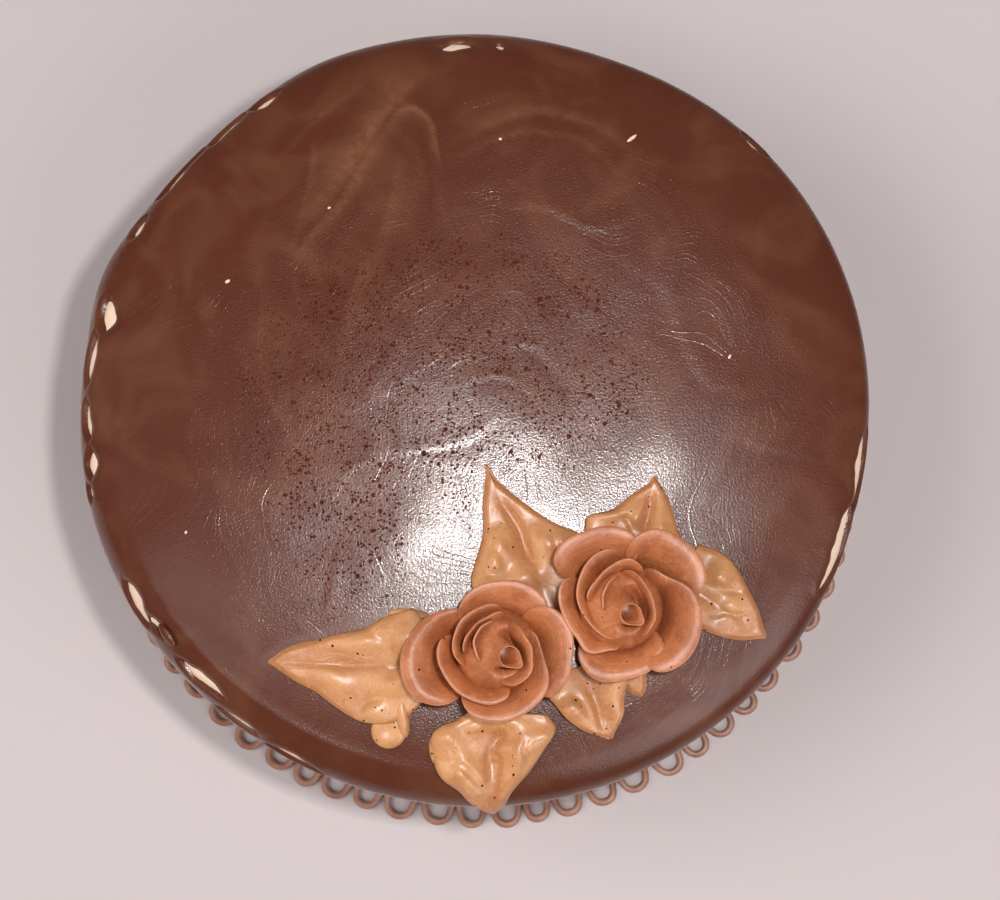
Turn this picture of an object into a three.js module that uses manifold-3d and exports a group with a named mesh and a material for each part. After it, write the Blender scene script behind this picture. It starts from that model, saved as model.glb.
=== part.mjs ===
// A round chocolate mud cake, 220 mm across, with two piped roses and their leaves near the front.
//
// From the inside out: an uncut cake with a pale coat, a poured dark ganache that leaves a few bare
// slivers of the coat at the shoulder, a border of piped loops round the foot, seven piped leaves, and
// two roses, each a leaning bud wrapped in nine petals.
//
// Units are millimetres. The origin is at the middle of the base, +Z is up, and the roses sit
// towards -Y. Angles are in degrees, counter-clockwise from +X.

import * as THREE from 'three';
import { mergeVertices } from 'three/addons/utils/BufferGeometryUtils.js';
import Module from 'manifold-3d';

// ---------------------------------------------------------------- driving sizes

const CAKE_RADIUS = 110;            // over the ganache, where the wall meets the shoulder
const FOOT_RADIUS = 106.8;          // over the ganache, at the base
const TOP_HEIGHT = 74;              // middle of the slightly domed top
const DOME_DROP = 4.2;              // the top falls this much out to the shoulder ...
const DOME_POWER = 3;               // ... most of it near the shoulder
const SHOULDER_WIDTH = 12;          // plan width of the rounded edge
const SHOULDER_HEIGHT = 7.8;        // and its height
const GANACHE_THICKNESS = 2.1;
const GAP = 0.3;                    // clearance between neighbouring pieces
const SHOULDER_RADIUS = CAKE_RADIUS - SHOULDER_WIDTH;
const WALL_TOP = TOP_HEIGHT - DOME_DROP - SHOULDER_HEIGHT;

const SEGMENTS_ROUND = 48;          // facets round the cake
const SHOULDER_STEPS = 3;           // facets over the rounded edge
const DOME_RINGS = [0.7, 0.4];      // rings of corners on the top, as shares of its radius
const BELOW_FOOT = 5;               // the hollow in the ganache is cut from this far below the base

// Bulges (+) and hollows (-) of the poured edge: [middle angle, spread in degrees, depth]
const BULGE_FULL_HEIGHT = TOP_HEIGHT * 0.7;
const EDGE_BULGES = [
  [32, 28, 1.7],
  [71, 16, -1],
  [114, 10, 0.9],
  [134, 13, -0.9],
  [159, 9, 2.5],
  [186, 30, 1.6],
  [246, 44, -1.2],
  [306, 24, -0.7],
  [346, 14, -0.9],
];

// Bare slivers of the pale coat: [from angle, to angle, lowest z, highest z]
const SLIVER_CUT_DEPTH = 16;        // the cut goes through the ganache and stands out of it
const SLIVER_END_SHARE = 0.15;      // a sliver's height at its ends, as a share of its middle's
const SLIVER_ROUNDING = 0.6;
const BARE_SLIVERS = [
  [-28, -2, 63.4, 66.6],
  [86, 97, 66, 68.4],
  [134, 146, 63.8, 66.4],
  [161, 178, 64.6, 68.2],
  [204, 216, 64, 67.6],
  [219, 246, 63, 66],
];

// The piped border: one string of ganache laid round the foot in loops that just clear each other
const LOOP_COUNT = 69;
const LOOP_TIP_RADIUS = 115.2;      // string centre at the outermost point
const LOOP_DEPTH = 6.4;             // string centre, outermost to innermost
const LOOP_SWING = 0.5;             // how far the string swings sideways in each loop
const LOOP_SQUARENESS = 0.47;       // how far the arms are held apart, so each loop is a deep U
const STRING_WIDTH = 2.2;           // at its foot ...
const STRING_TOP_SHARE = 0.6;       // ... and this share of it along the top
const STRING_HEIGHT = 2.1;
const LOOP_STEPS = 6;
// Waves of the hand round the cake, which make the loops larger and smaller: [count, share]
const LOOP_WAVES = [[11, 0.06], [25, 0.04]];
// Waves that crowd the loops and spread them out: [count, size in radians round the cake]
const LOOP_DRIFT = [[11, 0.008], [29, 0.003]];

// The roses. Petals run from the bud outwards: [from angle, to angle, rim height over the cake,
// and the rim's radii at even steps from one end to the other]
const PETAL_THICKNESS = 1.1;
const PETAL_FOOT = 2.2;             // a petal's foot stands at this radius ...
const PETAL_FOOT_SHARE = 0.36;      // ... plus this share of its rim's radius
const PETAL_END_DROP = 0.3;         // how much of its reach a petal loses at both ends ...
const PETAL_END_POWER = 4;          // ... and how sharply
const PETAL_LEAN_POWER = 1.3;       // a petal stands steeper near its foot
const PETAL_BASE = 0.9;             // the foot's height over the ganache, of the buds too
const PETAL_COLUMN = 20;            // degrees round the bud for each facet of a petal
const PETAL_ROWS = 3;
const BUD_HEIGHT = 22;
const BUD_RADIUS = 3.5;
const BUD_FACETS = 10;
const BUD_WALL = 1.3;               // from the bud's outside to its hole
const BUD_SPREAD = 0.6;             // how much wider the bud is at its middle and its foot
const BUD_LIP = 0.6;                // height of the lip's slope into the hole
const BUD_HOLE_DEPTH = 3.5;

const ROSES = [
  {
    name: 'rose_right',
    top: [41.5, -57.6],
    root: [40, -55.2],
    petals: [
      [100, -70, 20, [13, 8.6, 6.9, 6.4, 7]],
      [104, 178, 20, [12, 10.3, 8.6, 7.4]],
      [68, 166, 19, [13.2, 15, 14.1, 13.3, 12.8]],
      [96, 244, 15.5, [19.4, 18.6, 16.2, 12.2, 9.2, 8]],
      [66, -68, 12, [16, 14.8, 18.6, 19.6, 19.7, 19, 17.8]],
      [141, 254, 12, [21.8, 20.2, 17.8, 15.7, 15.5, 11.4, 9.4]],
      [213, 322, 10.5, [17.6, 19.2, 17.2, 15.4, 12]],
      [146, 87, 10.5, [25.8, 27.1, 26.4, 24.8, 22.6]],
      [83, 17, 10.5, [22.4, 25.7, 25.4, 24.7, 20.6]],
    ],
  },
  {
    name: 'rose_left',
    top: [9.2, -68.9],
    root: [5.6, -67.6],
    petals: [
      [88, -104, 20, [10, 7.2, 6.5, 6.3, 6.9, 7.6, 8]],
      [108, 192, 20, [11.2, 11.2, 10, 8]],
      [178, 92, 19, [13.2, 12.9, 12.8, 12.7, 12.4]],
      [94, 195, 17, [14.4, 15.4, 16.6, 16.5, 15.2, 13]],
      [158, 278, 15, [19.8, 19.7, 17.6, 15.2, 12.8, 10]],
      [58, -139, 13, [10.6, 9.1, 9.6, 13.2, 15.4, 18.2, 19.4]],
      [54, -46, 12, [17.4, 18.3, 17.8, 17, 16.6, 15.2]],
      [134, 58, 11, [19.9, 21.5, 21.2, 19.8, 17.4]],
      [136, 217, 10, [19.6, 25.6, 29.2, 28.8, 21.4]],
    ],
  },
];

// The leaves: root and tip on the cake, then the half widths to the left and to the right of the
// line from root to tip, at even steps, and how far the edges lift at the root end
const LEAF_THICKNESS = 1.5;
const LEAF_SEAT = GAP + LEAF_THICKNESS * 0.55;
const LEAF_COLUMNS = 7;
const LEAF_ROWS = 4;
const LEAF_RUFFLE = 14;             // how fast the ruffle runs from root to tip, in radians
const LEAF_RUFFLE_SLANT = 1.5;      // and how far it is ahead at the left edge
const LEAVES = [
  {
    name: 'leaf_left', root: [-13, -71.5], tip: [-57.3, -69.4], lift: 2.2,
    left: [12, 20.5, 15.5, 10.4, 5.2, 0.4], right: [17, 15, 11.5, 8, 5.4, 0.4],
  },
  {
    name: 'leaf_back', root: [18.5, -50], tip: [2.6, -15.3], lift: 2,
    left: [15, 17.6, 13, 7.9, 4.4, 0.4], right: [13, 16.6, 10.2, 5.6, 1.9, 0.4],
  },
  {
    name: 'leaf_back_right', root: [42.5, -43], tip: [49.2, -18.3], lift: 2,
    left: [14, 14.2, 14.6, 9.6, 4.9, 0.4], right: [13, 13.6, 12.6, 9, 5.4, 0.4],
  },
  {
    name: 'leaf_right', root: [55, -47], tip: [80.2, -62.8], lift: 2.4,
    left: [12, 13.2, 12.2, 8.9, 5, 0.4], right: [7, 8, 8.2, 7.1, 4.7, 0.4],
  },
  {
    name: 'leaf_front_right', root: [29.5, -70], tip: [37, -90.6], lift: 5,
    left: [12.5, 12.4, 9.6, 7.2, 4.7, 0.4], right: [12, 12.8, 11.4, 9.6, 6.2, 0.4],
  },
  {
    name: 'leaf_scrap', root: [42, -70], tip: [45.2, -79], lift: 1,
    left: [3, 3.4, 3.4, 3, 2.2, 0.4], right: [4, 4.4, 4.4, 3.6, 2.4, 0.4],
  },
  {
    name: 'leaf_front', root: [7, -83], tip: [5, -111.3], lift: 2.4,
    left: [16, 14.3, 11.6, 7.8, 3.4, 0.4], right: [16, 18.4, 18, 16.2, 11.5, 0.4],
  },
];

// ---------------------------------------------------------------- materials

function food(color, roughness) {
  return new THREE.MeshStandardMaterial({ color, roughness, metalness: 0 });
}

const PALE_COAT = food(0xf0dcc6, 0.55);
const DARK_GANACHE = food(0x5e3426, 0.3);
const BORDER_GANACHE = food(0x7a4a38, 0.45);
const ROSE_CREAM = food(0xb4704c, 0.45);
const LEAF_CREAM = food(0xca9468, 0.4);

// ---------------------------------------------------------------- small helpers

const radians = THREE.MathUtils.degToRad;

// Smooth curve through values at even steps, read at `share` from 0 to 1
function along(values, share) {
  const last = values.length - 1;
  const place = Math.min(Math.max(share, 0), 1) * last;
  const i = Math.min(Math.floor(place), last - 1);
  const before = values[Math.max(i - 1, 0)];
  const after = values[Math.min(i + 2, last)];
  const t = place - i;
  const a = values[i];
  const b = values[i + 1];
  const slopeA = (b - before) / 2;
  const slopeB = (after - a) / 2;
  const t2 = t * t;
  const t3 = t2 * t;
  const level = a * (2 * t3 - 3 * t2 + 1) + b * (3 * t2 - 2 * t3);
  return level + slopeA * (t3 - 2 * t2 + t) + slopeB * (t3 - t2);
}

// How far the poured edge stands out from the true circle, at an angle in degrees
function edgeBulge(angle) {
  let bulge = 0;
  for (const [middle, spread, depth] of EDGE_BULGES) {
    const away = ((((angle - middle) % 360) + 540) % 360) - 180;
    bulge += depth * Math.exp(-((away / spread) ** 2));
  }
  return bulge;
}

function domeHeight(radius) {
  return TOP_HEIGHT - DOME_DROP * (radius / SHOULDER_RADIUS) ** DOME_POWER;
}

// The cake's outside, or a layer `inset` below it, as [radius, height] from the foot to the middle
function cakeProfile(inset, footHeight) {
  const points = [[FOOT_RADIUS - inset, footHeight]];
  for (let step = 0; step <= SHOULDER_STEPS; step += 1) {
    const turn = (step / SHOULDER_STEPS) * (Math.PI / 2);
    points.push([
      SHOULDER_RADIUS + (SHOULDER_WIDTH - inset) * Math.cos(turn),
      WALL_TOP + (SHOULDER_HEIGHT - inset) * Math.sin(turn),
    ]);
  }
  for (const share of DOME_RINGS) {
    points.push([SHOULDER_RADIUS * share, domeHeight(SHOULDER_RADIUS * share) - inset]);
  }
  points.push([0, TOP_HEIGHT - inset]);
  return points;
}

// Pushes a turned shape out and in with the poured edge: full at the shoulder, nothing at the foot
function pushEdge(geometry) {
  const position = geometry.attributes.position;
  for (let i = 0; i < position.count; i += 1) {
    const x = position.getX(i);
    const y = position.getY(i);
    const radius = Math.hypot(x, y);
    if (radius > 1) {
      const angle = THREE.MathUtils.radToDeg(Math.atan2(y, x));
      const height = Math.min(Math.max(position.getZ(i) / BULGE_FULL_HEIGHT, 0), 1);
      const scale = 1 + (edgeBulge(angle) * height * (radius / CAKE_RADIUS) ** 2) / CAKE_RADIUS;
      position.setXY(i, x * scale, y * scale);
    }
  }
  return geometry;
}

// A point on the ganache below a plan position, raised `lift` along the surface's own direction.
// Places up to OVERHANG beyond the cake's edge are laid on the upright end of the shoulder.
const OVERHANG = 1.4;
function onGanache(x, y, lift) {
  const angle = Math.atan2(y, x);
  const swell = 1 + edgeBulge(THREE.MathUtils.radToDeg(angle)) / CAKE_RADIUS;
  const radius = Math.hypot(x, y) / swell;
  if (radius <= SHOULDER_RADIUS) {
    return new THREE.Vector3(x, y, domeHeight(radius) + lift);
  }
  const lean = Math.asin(Math.min((radius - SHOULDER_RADIUS) / (SHOULDER_WIDTH + OVERHANG), 1));
  const reach = (SHOULDER_RADIUS + (SHOULDER_WIDTH + lift) * Math.sin(lean)) * swell;
  const height = WALL_TOP + (SHOULDER_HEIGHT + lift) * Math.cos(lean);
  return new THREE.Vector3(reach * Math.cos(angle), reach * Math.sin(angle), height);
}

// ---------------------------------------------------------------- solids

const wasm = await Module();
wasm.setup();

function toSolid(geometry) {
  geometry.deleteAttribute('normal');
  geometry.deleteAttribute('uv');
  const merged = mergeVertices(geometry, 1e-4);
  return new wasm.Manifold(new wasm.Mesh({
    numProp: 3,
    vertProperties: new Float32Array(merged.attributes.position.array),
    triVerts: new Uint32Array(merged.index.array),
  }));
}

function toMesh(solid, name, material) {
  const parts = solid.decompose();
  parts.sort((a, b) => b.volume() - a.volume());
  const { vertProperties, triVerts } = parts[0].getMesh();
  const geometry = new THREE.BufferGeometry();
  geometry.setAttribute('position', new THREE.BufferAttribute(new Float32Array(vertProperties), 3));
  geometry.setIndex(new THREE.BufferAttribute(new Uint32Array(triVerts), 1));
  geometry.computeVertexNormals();
  const mesh = new THREE.Mesh(geometry, material);
  mesh.name = name;
  return mesh;
}

// A turned shape from a [radius, height] profile that starts and ends on the axis
function turned(profile, facets = SEGMENTS_ROUND) {
  const points = profile.map(([radius, height]) => new THREE.Vector2(radius, height));
  return new THREE.LatheGeometry(points, facets).rotateX(Math.PI / 2);
}

// A sheet `thickness` thick along a surface point(s, t), with s and t running from 0 to 1. It is
// made larger by `grow` all round.
function sheet(point, thickness, columns, rows, grow = 0) {
  const geometry = new THREE.BoxGeometry(1, 1, 1, columns, rows, 1);
  const position = geometry.attributes.position;
  const step = 0.01;
  for (let i = 0; i < position.count; i += 1) {
    const s = position.getX(i) + 0.5;
    const t = position.getY(i) + 0.5;
    const side = Math.sign(position.getZ(i));
    const here = point(s, t);
    const alongS = point(s + step, t).sub(point(s - step, t));
    const alongT = point(s, t + step).sub(point(s, t - step));
    const normal = new THREE.Vector3().crossVectors(alongS, alongT).normalize();
    here.addScaledVector(normal, side * (thickness / 2 + grow));
    if (s === 0 || s === 1) {
      here.addScaledVector(alongS.normalize(), (s * 2 - 1) * grow);
    }
    if (t === 0 || t === 1) {
      here.addScaledVector(alongT.normalize(), (t * 2 - 1) * grow);
    }
    position.setXYZ(i, here.x, here.y, here.z);
  }
  return toSolid(geometry);
}

// ---------------------------------------------------------------- cake and ganache

function makeCake() {
  const inset = GANACHE_THICKNESS + GAP;
  return toSolid(pushEdge(turned([[0, 0], ...cakeProfile(inset, 0)])));
}

// A block that cuts one bare sliver out of the ganache, tapering to nothing at both ends
function sliverCutter([from, to, lowest, highest]) {
  const middle = (lowest + highest) / 2;
  const reach = (highest - lowest) / 2;
  const face = (s, t) => {
    const angle = radians(from + (to - from) * s);
    const bow = Math.sin(Math.PI * Math.min(Math.max(s, 0), 1)) ** SLIVER_ROUNDING;
    const height = middle + reach * THREE.MathUtils.lerp(SLIVER_END_SHARE, 1, bow) * (2 * t - 1);
    return new THREE.Vector3(CAKE_RADIUS * Math.cos(angle), CAKE_RADIUS * Math.sin(angle), height);
  };
  return sheet(face, SLIVER_CUT_DEPTH, 4, 1);
}

function makeGanache() {
  const outside = toSolid(pushEdge(turned([[0, 0], ...cakeProfile(0, 0)])));
  const hollow = [[0, -BELOW_FOOT], ...cakeProfile(GANACHE_THICKNESS, -BELOW_FOOT)];
  const shell = outside.subtract(toSolid(pushEdge(turned(hollow))));
  return BARE_SLIVERS.reduce((left, sliver) => left.subtract(sliverCutter(sliver)), shell);
}

// ---------------------------------------------------------------- piped border

// The string's centre line: `share` runs from 0 to 1 once round the cake
function borderPoint(share) {
  const round = 2 * Math.PI * share;
  const turn = round * LOOP_COUNT;
  const unsteady = LOOP_WAVES.reduce((sum, [count, size]) => sum + size * Math.sin(round * count), 1);
  const middleRadius = LOOP_TIP_RADIUS - LOOP_DEPTH / 2;
  const radius = middleRadius - (LOOP_DEPTH / 2) * unsteady * Math.cos(turn);
  const splay = LOOP_SWING * unsteady * Math.sin(turn) - LOOP_SQUARENESS * Math.sin(2 * turn);
  const drift = LOOP_DRIFT.reduce((sum, [count, size]) => sum + size * Math.sin(round * count), 0);
  const angle = round + drift - splay / middleRadius;
  return new THREE.Vector3(radius * Math.cos(angle), radius * Math.sin(angle), 0);
}

// One closed string: a ring's section corners are moved to a flat-footed string along the loops
function makeBorder() {
  const geometry = new THREE.TorusGeometry(1, 0.5, 4, LOOP_COUNT * LOOP_STEPS);
  const { position, uv } = geometry.attributes;
  const look = 0.1 / (LOOP_COUNT * LOOP_STEPS);
  for (let i = 0; i < position.count; i += 1) {
    const here = borderPoint(uv.getX(i));
    const forward = borderPoint(uv.getX(i) + look).sub(borderPoint(uv.getX(i) - look)).normalize();
    const corner = 2 * Math.PI * uv.getY(i) + Math.PI / 4;
    const high = Math.sin(corner) > 0;
    const side = Math.sign(Math.cos(corner)) * (STRING_WIDTH / 2) * (high ? STRING_TOP_SHARE : 1);
    position.setXYZ(i, here.x + forward.y * side, here.y - forward.x * side, high ? STRING_HEIGHT : 0);
  }
  return toSolid(geometry);
}

// ---------------------------------------------------------------- roses

function petalSheet(rose, [from, to, rimHeight, rimRadii], grow) {
  const sweep = Math.sign(to - from);
  const face = (s, t) => {
    const angle = radians(from + (to - from) * s);
    const across = new THREE.Vector3(Math.cos(angle), Math.sin(angle), 0);
    const reach = Math.max(t, 0) * (1 - PETAL_END_DROP * Math.abs(2 * s - 1) ** PETAL_END_POWER);
    const rimRadius = along(rimRadii, s);
    const footRadius = PETAL_FOOT + PETAL_FOOT_SHARE * rimRadius;
    const foot = new THREE.Vector3(rose.root[0], rose.root[1], 0).addScaledVector(across, footRadius);
    const rim = new THREE.Vector3(rose.top[0], rose.top[1], 0).addScaledVector(across, rimRadius);
    const here = foot.lerp(rim, reach ** PETAL_LEAN_POWER);
    const rise = (rimHeight - PETAL_BASE) * Math.sin((Math.PI / 2) * reach);
    here.z = onGanache(here.x, here.y, PETAL_BASE).z + rise;
    return here;
  };
  // The sheet's front must follow the turning direction, or the solid comes out inside out
  const oriented = sweep > 0 ? face : (s, t) => face(1 - s, t);
  const columns = Math.max(4, Math.round(Math.abs(to - from) / PETAL_COLUMN));
  return sheet(oriented, PETAL_THICKNESS, columns, PETAL_ROWS, grow);
}

function budSolid(rose, grow) {
  const floor = onGanache(rose.root[0], rose.root[1], PETAL_BASE).z;
  const hole = BUD_RADIUS - BUD_WALL - grow;
  const rim = BUD_HEIGHT - PETAL_BASE + grow;
  const wide = BUD_RADIUS + BUD_SPREAD + grow;
  const profile = [
    [0, -grow],
    [wide, -grow],
    [wide, rim * 0.5],
    [BUD_RADIUS + grow, rim * 0.9],
    [BUD_RADIUS - BUD_WALL / 3, rim],
    [hole, rim - BUD_LIP],
    [hole, rim - BUD_HOLE_DEPTH],
    [0, rim - BUD_HOLE_DEPTH - BUD_LIP],
  ];
  const geometry = turned(profile, BUD_FACETS);
  const position = geometry.attributes.position;
  for (let i = 0; i < position.count; i += 1) {
    const rise = position.getZ(i) / rim;
    const x = position.getX(i) + rose.root[0] + (rose.top[0] - rose.root[0]) * rise;
    const y = position.getY(i) + rose.root[1] + (rose.top[1] - rose.root[1]) * rise;
    position.setXYZ(i, x, y, floor + position.getZ(i));
  }
  return toSolid(geometry);
}

// ---------------------------------------------------------------- leaves

function leafSolid({ root, tip, left, right, lift }, grow) {
  const length = Math.hypot(tip[0] - root[0], tip[1] - root[1]);
  const forward = [(tip[0] - root[0]) / length, (tip[1] - root[1]) / length];
  const face = (s, t) => {
    const across = 2 * t - 1;
    const width = across > 0 ? along(left, s) : along(right, s);
    const x = root[0] + forward[0] * length * s - forward[1] * width * across;
    const y = root[1] + forward[1] * length * s + forward[0] * width * across;
    const ruffle = 1 + 0.4 * Math.cos(s * LEAF_RUFFLE + across * LEAF_RUFFLE_SLANT);
    const rise = lift * Math.max(1 - s, 0) ** 0.8 * across ** 2 * ruffle;
    return onGanache(x, y, LEAF_SEAT + rise);
  };
  return sheet(face, LEAF_THICKNESS, LEAF_COLUMNS, LEAF_ROWS, grow);
}

// ---------------------------------------------------------------- the whole cake

const cake = new THREE.Group();
cake.add(toMesh(makeCake(), 'cake_body', PALE_COAT));
cake.add(toMesh(makeGanache(), 'ganache', DARK_GANACHE));
cake.add(toMesh(makeBorder(), 'piped_border', BORDER_GANACHE));

// Each later piece is cut clear of the earlier ones, which are grown by the gap for the cut
const cleared = [];
for (const rose of ROSES) {
  cake.add(toMesh(budSolid(rose, 0), `${rose.name}_bud`, ROSE_CREAM));
  cleared.push(budSolid(rose, GAP));
  rose.petals.forEach((petal, index) => {
    const solid = cleared.reduce((left, other) => left.subtract(other), petalSheet(rose, petal, 0));
    cake.add(toMesh(solid, `${rose.name}_petal_${index + 1}`, ROSE_CREAM));
    cleared.push(petalSheet(rose, petal, GAP));
  });
}
for (const leaf of LEAVES) {
  const solid = cleared.reduce((left, other) => left.subtract(other), leafSolid(leaf, 0));
  cake.add(toMesh(solid, leaf.name, LEAF_CREAM));
  cleared.push(leafSolid(leaf, GAP));
}

export default cake;
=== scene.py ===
import math

import bmesh
import bpy
import numpy as np
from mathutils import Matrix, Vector


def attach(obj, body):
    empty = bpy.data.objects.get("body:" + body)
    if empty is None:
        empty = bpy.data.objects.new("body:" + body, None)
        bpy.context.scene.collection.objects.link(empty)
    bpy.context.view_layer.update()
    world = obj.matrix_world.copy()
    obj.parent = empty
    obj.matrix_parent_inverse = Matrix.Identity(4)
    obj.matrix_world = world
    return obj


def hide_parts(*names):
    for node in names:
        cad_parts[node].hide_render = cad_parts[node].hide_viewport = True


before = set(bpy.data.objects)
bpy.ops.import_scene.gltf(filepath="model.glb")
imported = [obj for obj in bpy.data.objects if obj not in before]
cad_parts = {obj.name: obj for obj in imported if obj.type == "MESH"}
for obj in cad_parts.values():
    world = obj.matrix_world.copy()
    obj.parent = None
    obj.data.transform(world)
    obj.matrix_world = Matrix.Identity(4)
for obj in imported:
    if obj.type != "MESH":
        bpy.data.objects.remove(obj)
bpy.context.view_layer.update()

MM = 0.001

# ------------------------------------------------------------ camera
# Almost straight above the cake, a little towards the side that the roses are on.

CAMERA_PLACE = (0.0065, -0.0954, 0.800)
CAMERA_TILT = 6.62
CAMERA_LENS = 95.33

camera_data = bpy.data.cameras.new("camera")
camera_data.lens = CAMERA_LENS
camera_data.sensor_width = 36
camera_data.clip_start = 0.01
camera_data.clip_end = 10
camera = bpy.data.objects.new("camera", camera_data)
camera.location = CAMERA_PLACE
camera.rotation_euler = (math.radians(CAMERA_TILT), 0, 0)
bpy.context.collection.objects.link(camera)
bpy.context.scene.camera = camera

# ------------------------------------------------------------ coated cake
# The uncut round cake with its undercoat of pale cream, spread with a palette knife. It shows
# only through the bare slivers that the poured glaze leaves open near the top edge.

CAKE_RADIUS = 110 * MM
FOOT_RADIUS = 106.8 * MM
TOP_HEIGHT = 74 * MM
DOME_DROP = 2.1 * MM
RIM_DROP = 2.1 * MM
SHOULDER_WIDTH = 12 * MM
SHOULDER_HEIGHT = 7.8 * MM
GLAZE_THICKNESS = 2.1 * MM
FLAT_RADIUS = CAKE_RADIUS - SHOULDER_WIDTH
WALL_TOP = TOP_HEIGHT - DOME_DROP - RIM_DROP - SHOULDER_HEIGHT
WALL_CURVE = 1.4

# Bulges (+) and hollows (-) of the edge: middle angle and spread in degrees, depth
EDGE_BULGES = (
    (32, 28, 1.7 * MM),
    (71, 16, -1.0 * MM),
    (114, 10, 0.9 * MM),
    (134, 13, -0.9 * MM),
    (159, 9, 2.5 * MM),
    (186, 30, 1.6 * MM),
    (246, 44, -1.2 * MM),
    (306, 24, -0.7 * MM),
    (346, 14, -0.9 * MM),
)

# Bare slivers that the glaze leaves open: from and to in degrees, lowest and highest height
BARE_SLIVERS = (
    (-28, -13.4, 64.0 * MM, 66.6 * MM),
    (-14.4, -2, 63.4 * MM, 65.8 * MM),
    (42, 47, 64.2 * MM, 65.2 * MM),
    (85.5, 87.5, 66.9 * MM, 67.9 * MM),
    (90, 96.5, 67.0 * MM, 68.2 * MM),
    (121.5, 126.3, 65.2 * MM, 66.4 * MM),
    (127.5, 134.5, 64.9 * MM, 66.0 * MM),
    (135.5, 146, 64.2 * MM, 65.6 * MM),
    (149, 153, 65.6 * MM, 66.8 * MM),
    (162.4, 167.8, 66.5 * MM, 68.6 * MM),
    (168, 176, 65.4 * MM, 66.8 * MM),
    (178, 184, 65.8 * MM, 66.9 * MM),
    (185.4, 189.6, 65.8 * MM, 67.7 * MM),
    (190.4, 193, 64.6 * MM, 65.8 * MM),
    (205.4, 213.5, 64.6 * MM, 67.0 * MM),
    (212, 216, 66.4 * MM, 67.5 * MM),
    (219.6, 229, 66.0 * MM, 67.5 * MM),
    (228.5, 236, 64.2 * MM, 65.3 * MM),
    (237.5, 247, 63.2 * MM, 64.8 * MM),
)
COAT_RISE = 1.2 * MM

# The top lies a little low towards the right, where the knife left off, and the glaze stands
# in a few broad low swells: place, spread and height
TOP_TILT = (-0.0124, -0.0100)
TOP_SWELLS = (
    (-21.8 * MM, -35.9 * MM, 16 * MM, 0.39 * MM),
    (16.9 * MM, -5 * MM, 16 * MM, 0.43 * MM),
    (60.7 * MM, -3.5 * MM, 18.7 * MM, 0.79 * MM),
    (-70 * MM, -45.3 * MM, 40 * MM, 1.63 * MM),
    (-22.3 * MM, 14.5 * MM, 37.2 * MM, 1.94 * MM),
)

COAT_CREAM = (0.84, 0.61, 0.48, 1)
COAT_CREAM_WARM = (0.86, 0.62, 0.45, 1)


def smooth_step(low, high, value):
    share = np.clip((value - low) / (high - low), 0, 1)
    return share * share * (3 - 2 * share)


def angle_between(angle, middle):
    """How far an angle lies from a middle angle, both in degrees, from -180 to 180."""
    return (angle - middle + 540) % 360 - 180


def edge_bulge(angle):
    bulge = np.zeros_like(angle)
    for middle, spread, depth in EDGE_BULGES:
        bulge += depth * np.exp(-(angle_between(angle, middle) / spread) ** 2)
    return bulge


def dome_height(radius):
    """Height of the top at a radius: a shallow dome that rolls over towards the shoulder."""
    share = radius / FLAT_RADIUS
    return TOP_HEIGHT - DOME_DROP * share ** 2 - RIM_DROP * share ** 8


def cake_profile(inset, top_steps, shoulder_steps, wall_steps):
    """Points (radius, height) from the middle of the top, over the shoulder, down to the foot."""
    rim_slope = (2 * DOME_DROP + 8 * RIM_DROP) / FLAT_RADIUS
    start = math.atan2(1, rim_slope * SHOULDER_WIDTH / SHOULDER_HEIGHT)
    points = []
    for step in range(top_steps):
        share = step / top_steps
        points.append((FLAT_RADIUS * share, dome_height(FLAT_RADIUS * share) - inset))
    across = SHOULDER_WIDTH / (1 - math.cos(start))
    down = SHOULDER_HEIGHT / math.sin(start)
    middle = CAKE_RADIUS - across
    for step in range(shoulder_steps):
        turn = start * (1 - step / shoulder_steps)
        radius = middle + (across - inset) * math.cos(turn)
        points.append((radius, WALL_TOP + (down - inset) * math.sin(turn)))
    for step in range(wall_steps + 1):
        share = step / wall_steps
        radius = CAKE_RADIUS - inset - (CAKE_RADIUS - FOOT_RADIUS) * share ** WALL_CURVE
        points.append((radius, WALL_TOP * (1 - share)))
    return points


def turned(profile, columns):
    """A bmesh spun full circle from a profile that starts and ends on the axis."""
    bm = bmesh.new()
    corners = [bm.verts.new((radius, 0, height)) for radius, height in profile]
    for first, second in zip(corners, corners[1:]):
        bm.edges.new((first, second))
    bmesh.ops.spin(
        bm, geom=bm.verts[:] + bm.edges[:], cent=(0, 0, 0), axis=(0, 0, 1), dvec=(0, 0, 0),
        angle=2 * math.pi, steps=columns, use_merge=True, use_duplicate=False,
    )
    bmesh.ops.remove_doubles(bm, verts=bm.verts[:], dist=0.002 * MM)
    bmesh.ops.recalc_face_normals(bm, faces=bm.faces[:])
    return bm


def new_piece(bm, name, material, node):
    """Makes a smooth piece of a bmesh, in place of the node, riding on the cake."""
    mesh = bpy.data.meshes.new(name)
    bm.to_mesh(mesh)
    bm.free()
    mesh.materials.append(material)
    mesh.shade_smooth()
    piece = bpy.data.objects.new(name, mesh)
    bpy.context.collection.objects.link(piece)
    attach(piece, "root")
    if node:
        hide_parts(node)
    return piece


def points_of(mesh):
    places = np.empty(len(mesh.vertices) * 3)
    mesh.vertices.foreach_get("co", places)
    return places.reshape(-1, 3)


def move_points(mesh, places):
    mesh.vertices.foreach_set("co", places.astype(np.float32).ravel())
    mesh.update()


def share_attribute(mesh, name, values):
    """Stores one number for each point of a mesh, for its material to read."""
    attribute = mesh.attributes.new(name, "FLOAT", "POINT")
    attribute.data.foreach_set("value", values.astype(np.float32))


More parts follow.
